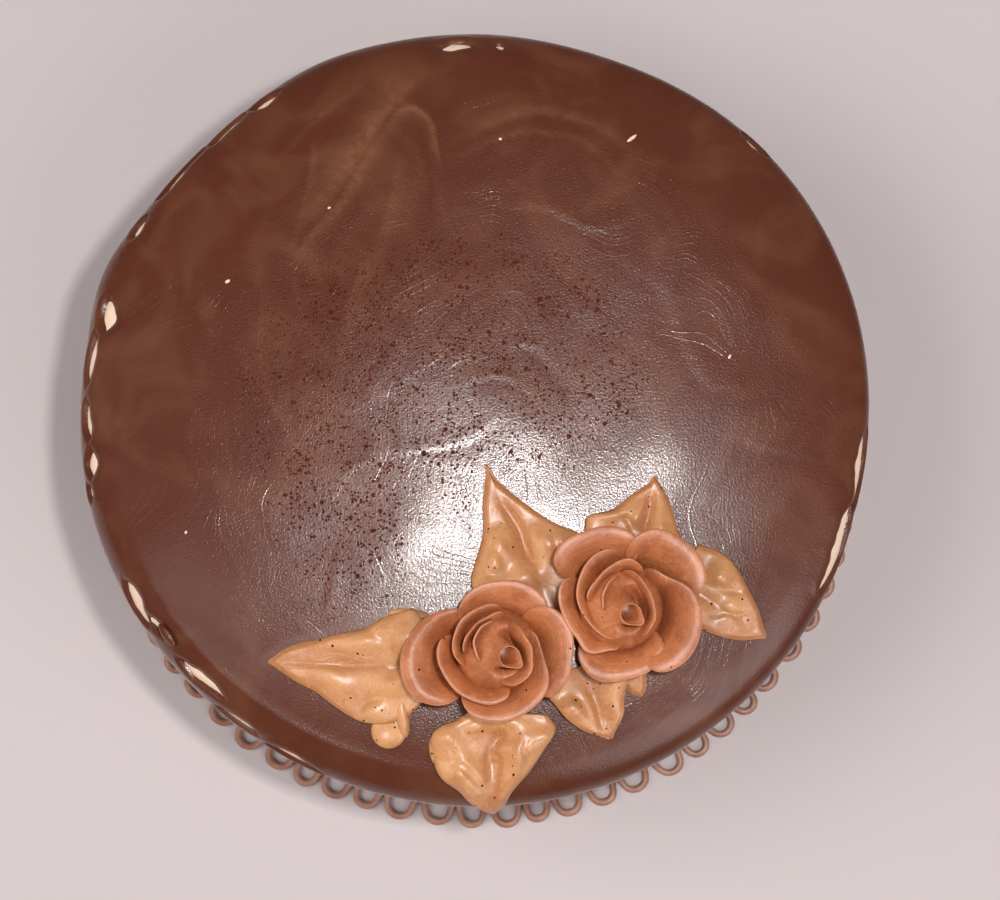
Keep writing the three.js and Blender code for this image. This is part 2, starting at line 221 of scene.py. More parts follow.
def settle(places, raised):
    """Pushes true turned points out to the uneven edge and raises them by the top's own lie."""
    x, y, z = places.T
    radius = np.hypot(x, y)
    angle = np.degrees(np.arctan2(y, x))
    height = np.clip(z / (TOP_HEIGHT * 0.7), 0, 1)
    swell = 1 + edge_bulge(angle) * height * (radius / CAKE_RADIUS) ** 2 / CAKE_RADIUS
    lie = smooth_step(WALL_TOP, WALL_TOP + SHOULDER_HEIGHT, z) * raised
    return np.stack([x * swell, y * swell, z + lie], axis=1)


def top_lie(x, y):
    """The long unevenness of the cake's top."""
    tilt = TOP_TILT[0] * x + TOP_TILT[1] * y
    lie = tilt + 0.03 * MM * np.sin(x / (9 * MM) - y / (12 * MM) + 1.2)
    for middle_x, middle_y, spread, height in TOP_SWELLS:
        away = np.hypot(x - middle_x, y - middle_y) / spread
        lie += height * np.exp(-away ** 2)
    return lie


def sliver_edge(angle, z):
    """How far inside the nearest bare sliver a place on the shoulder lies."""
    nearest = np.full(z.shape, -9 * MM)
    for start, end, lowest, highest in BARE_SLIVERS:
        share = (angle_between(angle, (start + end) / 2)) / (end - start) + 0.5
        round_ends = np.sin(np.pi * np.clip(share, 0, 1)) ** 0.7
        beyond = np.maximum(np.abs(share - 0.5) - 0.5, 0) * (end - start)
        wander = 0.35 * np.sin(np.radians(angle) * 29 + start)
        middle = (lowest + highest) / 2 + wander * MM
        ragged = 0.12 * np.sin(np.radians(angle) * 61 + end) + 0.08 * np.sin(np.radians(angle) * 131)
        reach = (highest - lowest) / 2 * (round_ends * (1.3 + ragged) - 0.3)
        edge = reach - np.abs(z - middle) - beyond * 1.9 * MM
        nearest = np.maximum(nearest, edge)
    return nearest


def outward(radius, z):
    """The direction, in radius and height, in which a layer of the cake thickens."""
    lean_r = np.clip((radius - FLAT_RADIUS) / SHOULDER_WIDTH, 0, 1) / SHOULDER_WIDTH
    lean_z = np.clip((z - WALL_TOP) / SHOULDER_HEIGHT, 0, 1) / SHOULDER_HEIGHT
    lean_z = np.where(radius < FLAT_RADIUS, 1, lean_z)
    length = np.hypot(lean_r, lean_z) + 1e-9
    out_r = np.where(z < WALL_TOP, 1, lean_r / length)
    out_z = np.where(z < WALL_TOP, 0, lean_z / length)
    return out_r, out_z


def thickened(places, push):
    """Turned points moved outward by `push`."""
    x, y, z = places.T
    radius = np.hypot(x, y)
    out_r, out_z = outward(radius, z)
    unit_x, unit_y = x / (radius + 1e-9), y / (radius + 1e-9)
    return places + np.stack([unit_x * out_r * push, unit_y * out_r * push, out_z * push], axis=1)


def add_node(tree, kind, sockets, **settings):
    """Adds a shader node. A socket given as a value is linked, and anything else is set."""
    node = tree.nodes.new("ShaderNode" + kind)
    for name, value in settings.items():
        setattr(node, name, value)
    for name, value in sockets.items():
        if isinstance(value, bpy.types.NodeSocket):
            tree.links.new(value, node.inputs[name])
        else:
            node.inputs[name].default_value = value
    return node


def mixed(tree, share, first, second):
    """The colour between two colours."""
    node = add_node(tree, "Mix", {0: share, 6: first, 7: second}, data_type="RGBA")
    return node.outputs[2]


def ranged(tree, value, low, high, to_low=0.0, to_high=1.0):
    """A value carried smoothly from one range to another."""
    sockets = {0: value, 1: low, 2: high, 3: to_low, 4: to_high}
    return add_node(tree, "MapRange", sockets, interpolation_type="SMOOTHSTEP").outputs[0]


def reckon(tree, operation, first, second):
    return add_node(tree, "Math", {0: first, 1: second}, operation=operation).outputs[0]


def grain(tree, where, scale, detail=2.0, distortion=0.0):
    sockets = {"Vector": where, "Scale": scale, "Detail": detail, "Distortion": distortion}
    return add_node(tree, "TexNoise", sockets).outputs["Fac"]


def own_value(tree, name):
    return add_node(tree, "Attribute", {}, attribute_name=name).outputs["Fac"]


def new_finish(name, roughness, coat=0.0, coat_roughness=0.1):
    """A material with its tree, its shader and the Object coordinates that its patterns read."""
    material = bpy.data.materials.new(name)
    material.use_nodes = True
    tree = material.node_tree
    shader = tree.nodes["Principled BSDF"]
    shader.inputs["Roughness"].default_value = roughness
    shader.inputs["Coat Weight"].default_value = coat
    shader.inputs["Coat Roughness"].default_value = coat_roughness
    where = add_node(tree, "TexCoord", {}).outputs["Object"]
    return material, tree, shader, where


def coat_finish():
    material, tree, shader, where = new_finish("pale_cream_coat", 0.5)
    patches = ranged(tree, grain(tree, where, 160, 3), 0.35, 0.7)
    colour = mixed(tree, patches, COAT_CREAM, COAT_CREAM_WARM)
    tree.links.new(colour, shader.inputs["Base Color"])
    sockets = {"Strength": 0.6, "Distance": 0.3 * MM, "Height": grain(tree, where, 420, 4)}
    bump = add_node(tree, "Bump", sockets)
    tree.links.new(bump.outputs[0], shader.inputs["Normal"])
    return material


def coat_cake():
    """Spins the coated cake and thickens the coat where it breaks through the glaze."""
    profile = cake_profile(GLAZE_THICKNESS, 20, 26, 20) + [(0, 0)]
    piece = new_piece(turned(profile, 360), "coated_cake", coat_finish(), "cake_body")
    places = points_of(piece.data)
    x, y, z = places.T
    edge = sliver_edge(np.degrees(np.arctan2(y, x)), z)
    rise = COAT_RISE * smooth_step(-3 * MM, -0.6 * MM, edge)
    move_points(piece.data, settle(thickened(places, rise), top_lie(x, y)))


coat_cake()

# ------------------------------------------------------------ poured glaze
# Dark chocolate ganache poured over the cold cake and pushed about with a knife, so it carries
# faint swirls, burst bubbles and a rounded lip round each place where it didn't cover the coat.

GLAZE_COLUMNS = 640
INNER_DEPTH = 2.8 * MM
LIP_HEIGHT = 0.22 * MM

# Marks of the knife: the line it took in millimetres, the width and height of the step it left
KNIFE_MARKS = (
    (((-35, -8), (-29, -11), (-23, -12), (-12, -11), (-1, -8), (8, -1)), 1.8, 0.07),
    (((-38, -2), (-31, 1), (-23, 5), (-15, 11), (-6, 14), (2, 14), (8, 11)), 1.8, 0.035),
    (((8, 17), (14, 18), (19, 15), (22, 10)), 1.6, 0.09),
    (((-40, -26), (-35, -18), (-29, -14), (-18, -14), (-6, -16), (2, -18)), 1.8, 0.06),
    (((-38, -38), (-40, -48), (-42, -56)), 1.6, 0.06),
    (((9, 58), (20, 57), (31, 51), (41, 52)), 1.8, 0.12),
    (((41, 41), (53, 33), (55, 25), (61, 12), (66, 7), (73, 8)), 2.4, 0.09),
    (((73, -8), (88, -12), (100, -14)), 2.0, 0.08),
    (((-6, 6), (2, 9), (10, 8), (15, 4)), 1.4, 0.08),
    (((-48, 18), (-50, 4), (-48, -10)), 2.2, 0.06),
)

# Where lighter ganache was drawn through the dark: line in millimetres, width, strength
PALE_SWIRLS = (
    (((-10, 69.5), (-11.5, 76), (-13, 82.5), (-18, 86.5), (-22.5, 84.5), (-27.5, 77.5)), 1.6, 0.9),
    (((-22, 85), (-27.5, 77.5), (-32, 69.5), (-38, 59), (-46, 50), (-52, 40)), 2.6, 0.75),
    (((-46, 55), (-38, 65), (-33, 72), (-27.5, 81.5), (-22.5, 89), (-17, 94)), 5.6, 0.75),
    (((-5, 76), (6, 82), (16, 85), (31, 82), (43, 74)), 2.6, 0.6),
    (((-8, 70), (4, 76), (15, 79), (30, 76), (40, 66)), 1.4, 0.4),
    (((-46, 76), (-47, 66), (-52, 45)), 1.8, 0.45),
    (((-21, 73), (-26, 51), (-35, 31), (-39, 8)), 3.6, 0.4),
    (((-30, 95), (-44, 84), (-56, 72)), 1.4, 0.35),
    (((12, 60), (22, 42), (35, 30)), 8.0, 0.3),
    (((-52, 40), (-46, 20), (-30, 6), (-10, 0), (12, 4)), 1.6, 0.3),
    (((-60, 30), (-58, 5), (-46, -14), (-28, -24)), 1.8, 0.3),
)

DARK_GANACHE = (0.093, 0.0200, 0.0073, 1)
PALE_GANACHE = (0.20, 0.078, 0.036, 1)
HALO_SHEEN = (0.30, 0.17, 0.145, 1)
PIT_SHADE = (0.050, 0.0105, 0.0050, 1)
GLAZE_ROUGHNESS = 0.28
GLAZE_COAT = 0.42
POUR_MIDDLE = (0.004, -0.024, 0.074)

# A faint ridge inside the edge at the front left: radius, width and height, then the middle
# and spread of its run in degrees
RIDGE_RADIUS = 101 * MM
RIDGE_WIDTH = 1.2 * MM
RIDGE_HEIGHT = 0.3 * MM
RIDGE_MIDDLE = 236
RIDGE_RUN = 24

# Burst bubbles: middle and half sizes, in millimetres, of the patch that holds them, then of
# places in and round it that have more of them (+) or fewer (-)
PITTED_PATCH = (-16, -2, 56, 54)
PITTED_PLACES = (
    (24, 20, 34, 30, 0.7),
    (-10, -42, 10, 12, -1.1),
    (16, -22, 13, 7, -0.9),
    (-33, -52, 14, 14, 0.9),
)


def distance_to(x, y, line):
    """Distance in plan to a smooth line, its sign by side, and a fade at the line's two ends."""
    knots = np.array(line, float) * MM
    places = np.linspace(0, len(knots) - 1, 14 * (len(knots) - 1) + 1)
    base = np.minimum(places.astype(int), len(knots) - 2)
    share = (places - base)[:, None]
    before = knots[np.maximum(base - 1, 0)]
    after = knots[np.minimum(base + 2, len(knots) - 1)]
    a, b = knots[base], knots[base + 1]
    slope_a, slope_b = (b - before) / 2, (after - a) / 2
    path = a * (2 * share ** 3 - 3 * share ** 2 + 1) + b * (3 * share ** 2 - 2 * share ** 3)
    path += slope_a * (share ** 3 - 2 * share ** 2 + share) + slope_b * (share ** 3 - share ** 2)
    nearest = np.full(x.shape, 1.0)
    side = np.ones_like(x)
    along = np.zeros_like(x)
    for index in range(len(path)):
        ahead = path[min(index + 1, len(path) - 1)] - path[max(index - 1, 0)]
        off_x, off_y = x - path[index, 0], y - path[index, 1]
        away = np.hypot(off_x, off_y)
        closer = away < nearest
        nearest = np.where(closer, away, nearest)
        side = np.where(closer, np.sign(ahead[0] * off_y - ahead[1] * off_x), side)
        along = np.where(closer, index / (len(path) - 1), along)
    fade = np.sin(np.pi * np.clip(along * 0.96 + 0.02, 0, 1)) ** 0.6
    return nearest, side, fade


def glaze_relief(x, y, z, angle, radius):
    """How far the glaze stands out from its smooth surface, apart from the bare slivers."""
    on_top = smooth_step(WALL_TOP, WALL_TOP + SHOULDER_HEIGHT, z)
    relief = 0.03 * np.sin(x / (5.2 * MM) + 2 * np.sin(y / (13 * MM)))
    relief += 0.03 * np.sin(y / (4.1 * MM) + 1.7 * np.sin(x / (11 * MM)))
    for line, width, height in KNIFE_MARKS:
        away, side, fade = distance_to(x, y, line)
        step = np.exp(-(away / (width * 1.6 * MM)) ** 2) * np.tanh(side * away / (0.5 * width * MM))
        relief += height * fade * (0.8 * step + 0.5 * np.exp(-(away / (0.35 * width * MM)) ** 2))
    relief *= on_top
    runs = 0.16 * np.sin(np.radians(angle) * 23 + 1.5 * np.sin(np.radians(angle) * 7))
    runs += 0.10 * np.sin(np.radians(angle) * 41 + 2)
    relief += runs * (1 - on_top) * smooth_step(0, 30 * MM, z) * smooth_step(66 * MM, 50 * MM, z)
    ridge = np.exp(-((radius - RIDGE_RADIUS) / RIDGE_WIDTH) ** 2)
    ridge *= np.exp(-(angle_between(angle, RIDGE_MIDDLE) / RIDGE_RUN) ** 2)
    return relief * MM + RIDGE_HEIGHT * ridge * on_top


def patch_share(x, y, middle_x, middle_y, wide, deep):
    """The square of the distance from a patch's middle, counted in the patch's half sizes."""
    return ((x / MM - middle_x) / wide) ** 2 + ((y / MM - middle_y) / deep) ** 2


def pour_glaze(piece):
    """Shapes the spun glaze, and stores where it is pitted and where it is pale."""
    mesh = piece.data
    places = points_of(mesh)
    x, y, z = places.T
    radius = np.hypot(x, y)
    angle = np.degrees(np.arctan2(y, x))
    edge = sliver_edge(angle, z)
    sink = smooth_step(-0.7 * MM, 0.6 * MM, edge)
    bead = np.exp(-((edge + 1.2 * MM) / (0.8 * MM)) ** 2)
    push = glaze_relief(x, y, z, angle, radius) * (1 - sink) + bead * LIP_HEIGHT
    push -= sink * (GLAZE_THICKNESS - COAT_RISE + 0.5 * MM)
    push = np.where(points_are_outside(radius, z), push, 0)
    move_points(mesh, settle(thickened(places, push), top_lie(x, y)))

    patch = np.exp(-patch_share(x, y, *PITTED_PATCH) ** 2)
    for *place, change in PITTED_PLACES:
        patch += change * np.exp(-patch_share(x, y, *place))
    share_attribute(mesh, "pitted", np.clip(patch, 0, 1) * (z > WALL_TOP))
    pale = np.zeros_like(x)
    for line, width, strength in PALE_SWIRLS:
        away, side, fade = distance_to(x, y, line)
        soft = np.where(side > 0, 1.0, 0.25) * width * MM
        pale = np.maximum(pale, strength * fade * np.exp(-(away / soft) ** 2))
    share_attribute(mesh, "pale_swirl", pale * (z > WALL_TOP))


def points_are_outside(radius, z):
    """True for the points of the outer skin, false for those of the inner one."""
    on_top = (radius < FLAT_RADIUS) & (z > dome_height(radius) - 1.2 * MM)
    over = np.hypot((radius - FLAT_RADIUS) / SHOULDER_WIDTH, (z - WALL_TOP) / SHOULDER_HEIGHT)
    on_shoulder = (radius >= FLAT_RADIUS) & (z >= WALL_TOP) & (over > 0.89)
    down = np.clip(1 - z / WALL_TOP, 0, 1)
    wall = CAKE_RADIUS - (CAKE_RADIUS - FOOT_RADIUS) * down ** WALL_CURVE
    on_wall = (z < WALL_TOP) & (radius > wall - 1.2 * MM)
    return on_top | on_shoulder | on_wall


def glaze_finish():
    name = "dark_poured_ganache"
    material, tree, shader, where = new_finish(name, GLAZE_ROUGHNESS, GLAZE_COAT, 0.13)
    pitted = own_value(tree, "pitted")
    pale = own_value(tree, "pale_swirl")
    halo = own_value(tree, "dried_rim")

    drift = grain(tree, where, 38, 2, 1.5)
    streaks = grain(tree, where, 140, 2, 2.5)
    pale = reckon(tree, "MULTIPLY", pale, ranged(tree, streaks, 0.25, 0.75, 0.45, 1.0))
    pale = reckon(tree, "ADD", pale, ranged(tree, drift, 0.40, 0.75, 0.0, 0.30))
    colour = mixed(tree, pale, DARK_GANACHE, PALE_GANACHE)

    # A fine nudge of the pattern's place keeps the pits from being true rounds
    nudge = add_node(tree, "TexNoise", {"Vector": where, "Scale": 800, "Detail": 1.0})
    nudge = {0: nudge.outputs["Color"], "Scale": 0.8 * MM}
    nudge = add_node(tree, "VectorMath", nudge, operation="SCALE").outputs[0]
    wandering = add_node(tree, "VectorMath", {0: where, 1: nudge}, operation="ADD").outputs[0]

    crowd = ranged(tree, grain(tree, where, 75, 2, 1.2), 0.32, 0.62, 0.80, 1.02)
    crowd = reckon(tree, "SUBTRACT", crowd, ranged(tree, pitted, 0.0, 0.8, 0.6, 0.0))

    def pits(cell, share, size):
        sockets = {"Vector": wandering, "Scale": 1 / (cell * MM), "Randomness": 1.0}
        cells = add_node(tree, "TexVoronoi", sockets)
        chance = add_node(tree, "SeparateColor", {0: cells.outputs["Color"]}).outputs[0]
        chance = reckon(tree, "SUBTRACT", reckon(tree, "ADD", chance, crowd), 2 - share)
        kept = reckon(tree, "MULTIPLY", reckon(tree, "MAXIMUM", chance, 0.0), size / share)
        depth = reckon(tree, "SUBTRACT", kept, cells.outputs["Distance"])
        return ranged(tree, depth, 0.0, 0.22)

    holes = reckon(tree, "MAXIMUM", pits(0.80, 0.75, 0.66), pits(2.0, 0.38, 0.50))
    # Painted sheen: a greyish pink lightens the glaze in a narrow halo round the leaves' edges.
    colour = mixed(tree, reckon(tree, "MULTIPLY", halo, 0.2), colour, HALO_SHEEN)
    # Painted shade: the pits are darkened in their hollows, besides losing their gloss.
    colour = mixed(tree, reckon(tree, "MULTIPLY", holes, 0.55), colour, PIT_SHADE)
    tree.links.new(colour, shader.inputs["Base Color"])
    dull = ranged(tree, halo, 0, 1, GLAZE_ROUGHNESS, 0.36)
    dull = reckon(tree, "MAXIMUM", dull, ranged(tree, holes, 0, 0.7, GLAZE_ROUGHNESS, 0.75))
    tree.links.new(dull, shader.inputs["Roughness"])
    tree.links.new(ranged(tree, holes, 0, 0.7, GLAZE_COAT, 0.0), shader.inputs["Coat Weight"])

    # Rings of more and less gloss lie round the place where the glaze was poured
    middle = add_node(tree, "VectorMath", {0: where, 1: POUR_MIDDLE}, operation="DISTANCE")
    sway = reckon(tree, "MULTIPLY", grain(tree, where, 22, 1), 0.11)
    ring = reckon(tree, "ADD", middle.outputs["Value"], sway)
    rings = {"W": ring, "Scale": 150, "Detail": 1.0}
    rings = add_node(tree, "TexNoise", rings, noise_dimensions="1D").outputs["Fac"]
    gloss = ranged(tree, rings, 0.3, 0.7, 0.33, 0.43)
    gloss = reckon(tree, "MULTIPLY", gloss, ranged(tree, holes, 0, 0.6, 1.0, 0.1))
    tree.links.new(gloss, shader.inputs["Specular IOR Level"])

    # Thin scratches of the knife follow the rings in places
    level = reckon(tree, "ABSOLUTE", reckon(tree, "SUBTRACT", rings, 0.5), 0.0)
    lines = ranged(tree, level, 0.0, 0.03, 1.0, 0.0)
    lines = reckon(tree, "MULTIPLY", lines, ranged(tree, grain(tree, where, 55, 3), 0.48, 0.62))
    ripple = {"Strength": 0.25, "Distance": 0.06 * MM, "Height": grain(tree, where, 240, 2, 0.6)}
    smooth = add_node(tree, "Bump", ripple)
    scratch = {"Strength": 0.4, "Distance": 0.06 * MM, "Height": lines, "Normal": smooth.outputs[0]}
    smooth = add_node(tree, "Bump", scratch)
    sparkle = reckon(tree, "MULTIPLY", grain(tree, where, 1900, 2), ranged(tree, halo, 0, 0.8, 1, 0.85))
    fine = {"Strength": 1.0, "Distance": 0.105 * MM, "Height": sparkle, "Normal": smooth.outputs[0]}
    bump = add_node(tree, "Bump", fine)
    tree.links.new(bump.outputs[0], shader.inputs["Normal"])
    shine = {"Strength": 0.8, "Distance": 0.055 * MM, "Height": sparkle, "Normal": smooth.outputs[0]}
    tree.links.new(add_node(tree, "Bump", shine).outputs[0], shader.inputs["Coat Normal"])
    return material


glaze_profile = cake_profile(0, 88, 36, 20)
glaze_profile += cake_profile(INNER_DEPTH, 3, 3, 2)[::-1]
glaze_mesh = turned(glaze_profile, GLAZE_COLUMNS)
glaze = new_piece(glaze_mesh, "poured_glaze", glaze_finish(), "ganache")
pour_glaze(glaze)

# ------------------------------------------------------------ looped border
# One string of lighter ganache piped on round the foot of the cake, swung out in deep loops whose
# arms meet against the cake.

LOOP_COUNT = 69
LOOP_TIP_RADIUS = 115.2 * MM
LOOP_DEPTH = 6.4 * MM
LOOP_SWING = 0.9 * MM
LOOP_SQUARENESS = 0.47 * MM
STRING_WIDTH = 2.1 * MM
STRING_HEIGHT = 1.9 * MM
STEPS_IN_A_LOOP = 22
STRING_SIDES = 12
STRING_DARK = (0.33, 0.150, 0.098, 1)
STRING_PALE = (0.46, 0.240, 0.170, 1)

# The loops drift forward and back along the string: waves once round the cake, size in radians
LOOP_DRIFT = ((11, 0.008), (29, 0.003))


def border_path(share):
    """The string's centre line on the floor, once round the cake."""
    round_angle = 2 * math.pi * share
    turn = round_angle * LOOP_COUNT
    unsteady = 1 + 0.07 * np.sin(round_angle * 11) + 0.05 * np.sin(round_angle * 25 + 1)
    unsteady += 0.06 * np.sin(round_angle * 43 + 2)
    middle = LOOP_TIP_RADIUS - LOOP_DEPTH / 2
    radius = middle - LOOP_DEPTH / 2 * unsteady * np.cos(turn)
    splay = LOOP_SWING * unsteady * np.sin(turn) - LOOP_SQUARENESS * np.sin(2 * turn)
    angle = round_angle - splay / middle
    for count, size in LOOP_DRIFT:
        angle = angle + size * np.sin(round_angle * count)
    return np.stack([radius * np.cos(angle), radius * np.sin(angle)], axis=1)


def pipe_border():
    columns = LOOP_COUNT * STEPS_IN_A_LOOP
    bm = bmesh.new()
    bmesh.ops.create_grid(bm, x_segments=columns, y_segments=STRING_SIDES, size=0.5)
    flat = np.array([corner.co[:2] for corner in bm.verts]) + 0.5
    share, side = np.round(flat[:, 0] * columns) / columns, flat[:, 1]
    look = 0.05 / columns
    here = border_path(share)
    ahead = border_path(share + look) - border_path(share - look)
    ahead /= np.linalg.norm(ahead, axis=1)[:, None]
    turn = 2 * math.pi * np.round(side * STRING_SIDES) / STRING_SIDES
    swollen = 1 + 0.07 * np.sin(share * 2 * math.pi * 137) + 0.05 * np.sin(share * 2 * math.pi * 61)
    half = STRING_WIDTH / 2 * swollen
    across = half * np.cos(turn)
    height = STRING_HEIGHT / 2 * swollen * (1 + np.maximum(np.sin(turn), -0.86) / 0.93)
    x = here[:, 0] + ahead[:, 1] * across
    y = here[:, 1] - ahead[:, 0] * across
    for corner, place in zip(bm.verts, np.stack([x, y, height], axis=1)):
        corner.co = place
    bmesh.ops.remove_doubles(bm, verts=bm.verts[:], dist=0.01 * MM)
    bmesh.ops.recalc_face_normals(bm, faces=bm.faces[:])
    return bm


def border_finish():
    material, tree, shader, where = new_finish("border_ganache", 0.36)
    patches = ranged(tree, grain(tree, where, 210, 3), 0.3, 0.75)
    colour = mixed(tree, patches, STRING_DARK, STRING_PALE)
    tree.links.new(colour, shader.inputs["Base Color"])
    sockets = {"Strength": 0.5, "Distance": 0.15 * MM, "Height": grain(tree, where, 700, 3)}
    bump = add_node(tree, "Bump", sockets)
    tree.links.new(bump.outputs[0], shader.inputs["Normal"])
    return material


new_piece(pipe_border(), "looped_border", border_finish(), "piped_border")

# ------------------------------------------------------------ roses
# Two roses of chocolate cream. A leaning cone with a rolled bud on top stands in each, and nine
# petals are piped round it from the bud outwards, each a band whose thin rim opens out.

PETAL_FOOT = 2.2
PETAL_FOOT_SHARE = 0.36
PETAL_END_DROP = 0.3
PETAL_THICKNESS = 0.62 * MM
PETAL_BASE = 0.9
BUD_HEIGHT = 21.4
BUD_SINK = 1.2 * MM
OVERHANG = 1.4 * MM

# Plan places and petals in millimetres. A petal runs from one angle to another, in degrees
# round the bud, with its rim's height over the cake and radii at even steps, then how far the
# rim rolls over and how far the two ends sink into the petals next to them.
ROSES = (
    {
        "name": "right", "node": "rose_right", "top": (41.5, -57.6), "root": (40, -55.2), "tip": -38,
        "core": (39.0, -54.8),
        "petals": (
            (100, -70, 20, (13, 8.6, 6.9, 6.4, 7), 0, 4),
            (104, 178, 19.4, (12, 10.3, 8.6, 7.4), 0, 3),
            (68, 166, 18.6, (13.2, 15, 14.1, 13.3, 12.8), 0, 3),
            (96, 244, 16, (19.4, 18.6, 16.2, 12.2, 9.2, 8), 0, 2),
            (72, -72, 13, (15, 14.8, 18.4, 19.6, 19.7, 19, 17.6), 0.2, 1),
            (145, 258, 13, (21.4, 20.4, 17.8, 15.7, 15.3, 11.2, 9.4), 0.1, 1),
            (208, 328, 11, (17.4, 19.2, 17.2, 15.2, 12), 0.3, 1),
            (150, 78, 10.6, (25.6, 27.1, 26.2, 24.4, 21), 0.3, 1),
            (91, 12, 11.6, (21.4, 25.4, 25.5, 24.6, 20.6), 0.3, 1),
        ),
    },
    {
        "name": "left", "node": "rose_left", "top": (9.2, -68.9), "root": (5.6, -67.6), "tip": -40,
        "core": (5.4, -66.6),
        "petals": (
            (88, -104, 20, (10, 7.2, 6.5, 6.3, 6.9, 7.6, 8), 0, 4),
            (108, 192, 19.4, (11.2, 11.2, 10, 8), 0, 3),
            (178, 92, 18.8, (13.2, 12.9, 12.8, 12.7, 12.4), 0, 3),
            (94, 195, 17, (14.4, 15.4, 16.6, 16.5, 15.2, 13), 0, 3),
            (158, 278, 15, (19.8, 19.7, 17.6, 15.2, 12.8, 10), 0.1, 1),
            (58, -139, 13.5, (10.6, 9.1, 9.6, 13.2, 15.4, 18.2, 19.4), 0.1, 1),
            (64, -52, 12.8, (17.2, 18.3, 18.0, 17, 16.6, 15.2), 0.2, 1),
            (142, 46, 11.5, (19.4, 21.3, 21.4, 20, 17.2), 0.3, 1),
            (130, 222, 10, (19.2, 25.2, 29.2, 28.8, 21.4), 0.8, 1),
        ),
    },
)


def along(values, share):
    """Smooth curve through values at even steps, read at shares from 0 to 1."""
    values = np.array(values, float)
    last = len(values) - 1
    place = np.clip(share, 0, 1) * last
    base = np.minimum(place.astype(int), last - 1)
    t = place - base
    before, after = values[np.maximum(base - 1, 0)], values[np.minimum(base + 2, last)]
    a, b = values[base], values[base + 1]
    slope_a, slope_b = (b - before) / 2, (after - a) / 2
    smooth = a * (2 * t ** 3 - 3 * t ** 2 + 1) + b * (3 * t ** 2 - 2 * t ** 3)
    return smooth + slope_a * (t ** 3 - 2 * t ** 2 + t) + slope_b * (t ** 3 - t ** 2)


def on_glaze(x, y, lift):
    """Points on the glaze under plan places, raised by `lift` along its own direction."""
    angle = np.arctan2(y, x)
    swell = 1 + edge_bulge(np.degrees(angle)) / CAKE_RADIUS
    radius = np.hypot(x, y) / swell
    dome = dome_height(radius) + lift
    lean = np.arcsin(np.clip((radius - FLAT_RADIUS) / (SHOULDER_WIDTH + OVERHANG), 0, 1))
    reach = (FLAT_RADIUS + (SHOULDER_WIDTH + lift) * np.sin(lean)) * swell
    height = WALL_TOP + (SHOULDER_HEIGHT + lift) * np.cos(lean)
    flat = radius <= FLAT_RADIUS
    lie = top_lie(x, y) * smooth_step(WALL_TOP, WALL_TOP + SHOULDER_HEIGHT, height)
    return np.stack([
        np.where(flat, x, reach * np.cos(angle)),
        np.where(flat, y, reach * np.sin(angle)),
        np.where(flat, dome + top_lie(x, y), height + lie),
    ], axis=1)


def grid_sheet(columns, rows, surface, painted_shade=lambda s, t: t):
    """A grid laid on a surface that maps shares (s, t) to points, with s and a painted shade level as its
    UV.
    """
    bm = bmesh.new()
    bmesh.ops.create_grid(bm, x_segments=columns, y_segments=rows, size=0.5, calc_uvs=True)
    bm.verts.ensure_lookup_table()
    flat = np.array([corner.co[:2] for corner in bm.verts]) + 0.5
    painted_shades = painted_shade(flat[:, 0], flat[:, 1])
    uv_layer = bm.loops.layers.uv.active or bm.loops.layers.uv.new("UVMap")
    for face in bm.faces:
        for loop in face.loops:
            loop[uv_layer].uv = (flat[loop.vert.index, 0], painted_shades[loop.vert.index])
    for corner, place in zip(bm.verts, surface(flat[:, 0], flat[:, 1])):
        corner.co = place
    bmesh.ops.recalc_face_normals(bm, faces=bm.faces[:])
    return bm


def thicken(piece, thickness, offset, smoothing=1):
    solidify = piece.modifiers.new("thickness", "SOLIDIFY")
    solidify.thickness = thickness
    solidify.offset = offset
    solidify.use_even_offset = False
    subdivision = piece.modifiers.new("rounding", "SUBSURF")
    subdivision.levels = smoothing
    subdivision.render_levels = smoothing


def petal_surface(rose, petal, number):
    """The face of one petal: s runs along its rim and t from its foot up to the rim."""
    start, end, rim_height, rim_radii, roll, sink = petal

    def surface(s, t):
        angle = np.radians(start + (end - start) * s)
        cos, sin = np.cos(angle), np.sin(angle)
        reach = t * (1 - PETAL_END_DROP * np.abs(2 * s - 1) ** 12)
        rim_radius = along(rim_radii, s)
        foot_radius = PETAL_FOOT + PETAL_FOOT_SHARE * rim_radius
        share = reach ** 1.3
        waver = 0.16 * np.sin(9 * s + 1.7 * number) + 0.1 * np.sin(21 * s + number)
        radius_x = (rose["root"][0] + foot_radius * cos) * (1 - share) + share * (
            rose["top"][0] + (rim_radius + waver) * cos)
        radius_y = (rose["root"][1] + foot_radius * sin) * (1 - share) + share * (
            rose["top"][1] + (rim_radius + waver) * sin)
        x, y = radius_x * MM, radius_y * MM
        floor = on_glaze(x, y, 0)[:, 2]
        rise = PETAL_BASE + (rim_height - PETAL_BASE) * np.sin(math.pi / 2 * reach)
        rise += 0.3 * t ** 2 * np.sin(7 * s + 2.3 * number)
        rise -= roll * smooth_step(0.78, 1.0, t) ** 1.5 * np.sin(math.pi * s) ** 0.5
        rise -= sink * t * np.abs(2 * s - 1) ** 7
        return np.stack([x, y, floor + rise * MM], axis=1)

    return surface


